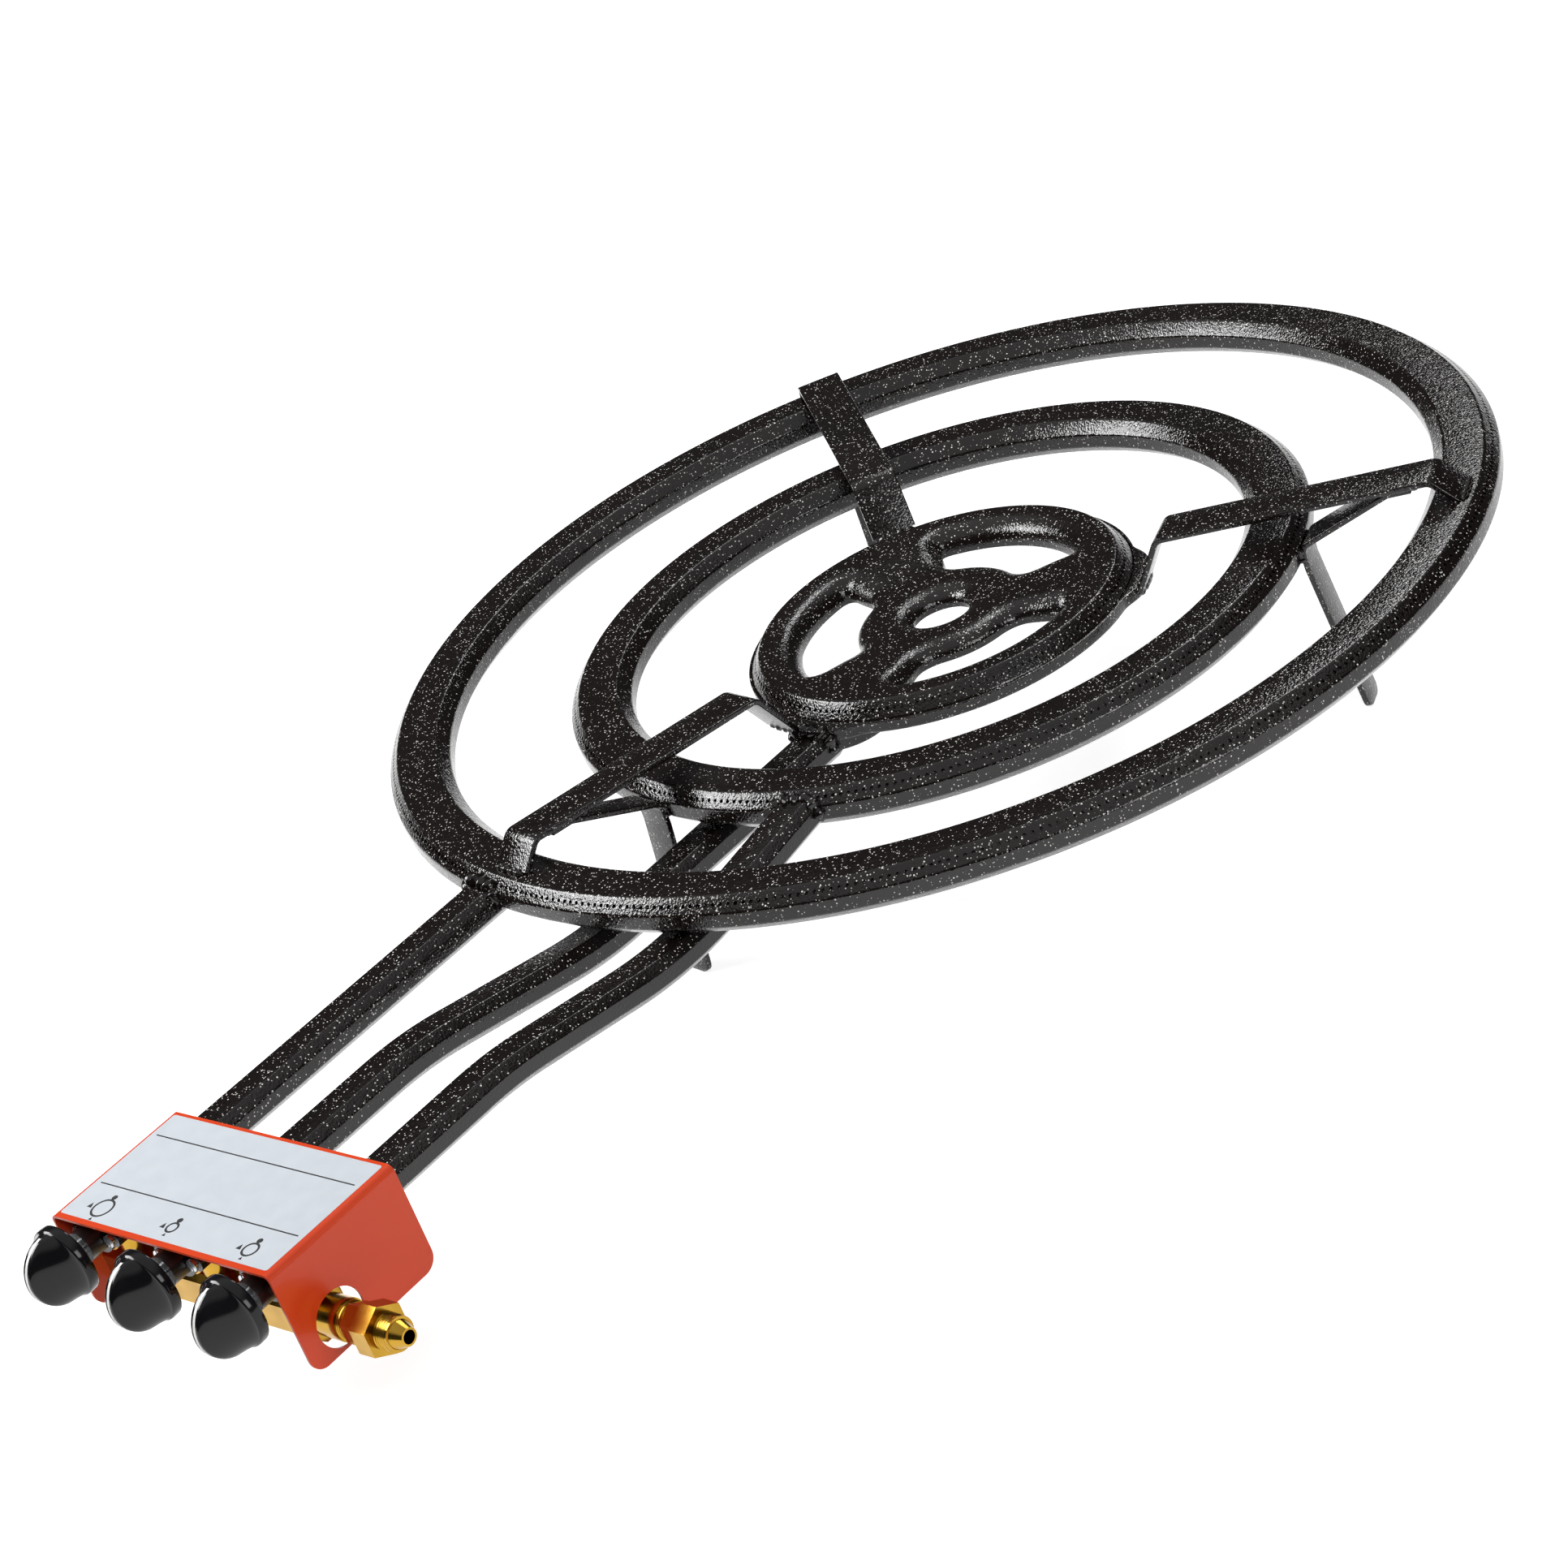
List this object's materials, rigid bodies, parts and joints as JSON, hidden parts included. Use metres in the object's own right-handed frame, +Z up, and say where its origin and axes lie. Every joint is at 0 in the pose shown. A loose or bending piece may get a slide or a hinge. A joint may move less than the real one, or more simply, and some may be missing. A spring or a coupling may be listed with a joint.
{
  "type": "paella burner",
  "caption": "Round black enamelled gas burner with nested flame rings, bar pan supports, bent strip legs and a red control panel with push-and-turn knobs.",
  "frame": {"origin": "on the floor under the middle of the overall box", "axes": "+Y from the knobs towards the rings, +X towards the gas inlet side, +Z up"},
  "size_m": [0.6, 0.8996, 0.1233],
  "materials": {
    "enamel": "speckled gloss enamel",
    "panel_paint": "gloss paint",
    "brass": "machined",
    "bonnet_black": "satin black",
    "steel": "bright",
    "knob_plastic": "gloss",
    "copper": "bright"
  },
  "bodies": {
    "burner": {"outer_ring": "enamel", "middle_ring": "enamel", "inner_burner_top": "enamel", "inner_burner_base": "enamel", "feed_tube_1": "enamel", "feed_tube_2": "enamel", "feed_tube_3": "enamel", "pan_support_1": "enamel", "pan_support_2": "enamel", "pan_support_3": "enamel", "leg_1": "enamel", "leg_2": "enamel", "leg_3": "enamel", "control_panel": "panel_paint", "panel_bracket": "enamel", "gas_manifold": "brass", "manifold_bolt": "steel", "valve_body_1": "brass", "valve_body_2": "brass", "valve_body_3": "brass", "valve_bonnet_1": "bonnet_black", "valve_bonnet_2": "bonnet_black", "valve_bonnet_3": "bonnet_black", "bonnet_screws": "steel", "injector_jet_1": "brass", "injector_jet_2": "brass", "injector_jet_3": "brass", "inlet_nipple": "brass", "sealing_washer": "copper", "inlet_adaptor": "brass"},
    "plug_1": {"valve_plug_1": "brass"},
    "knob_set_1": {"spindle_1": "steel", "knob_1": "knob_plastic"},
    "plug_2": {"valve_plug_2": "brass"},
    "knob_set_2": {"spindle_2": "steel", "knob_2": "knob_plastic"},
    "plug_3": {"valve_plug_3": "brass"},
    "knob_set_3": {"spindle_3": "steel", "knob_3": "knob_plastic"}
  },
  "joints": [
    {"name": "tap_1", "type": "hinge", "parent": "burner", "child": "plug_1", "pos_m": [-0.06, -0.39315, 0.097], "axis": [0, -1, 0], "range_deg": [0, 180]},
    {"name": "push_1", "type": "slide", "parent": "plug_1", "child": "knob_set_1", "axis": [0, 1, 0], "range_m": [0, 0.003], "stiffness_N_per_m": 800},
    {"name": "tap_2", "type": "hinge", "parent": "burner", "child": "plug_2", "pos_m": [0, -0.39315, 0.097], "axis": [0, -1, 0], "range_deg": [0, 180]},
    {"name": "push_2", "type": "slide", "parent": "plug_2", "child": "knob_set_2", "axis": [0, 1, 0], "range_m": [0, 0.003], "stiffness_N_per_m": 800},
    {"name": "tap_3", "type": "hinge", "parent": "burner", "child": "plug_3", "pos_m": [0.06, -0.39315, 0.097], "axis": [0, -1, 0], "range_deg": [0, 180]},
    {"name": "push_3", "type": "slide", "parent": "plug_3", "child": "knob_set_3", "axis": [0, 1, 0], "range_m": [0, 0.003], "stiffness_N_per_m": 800}
  ]
}
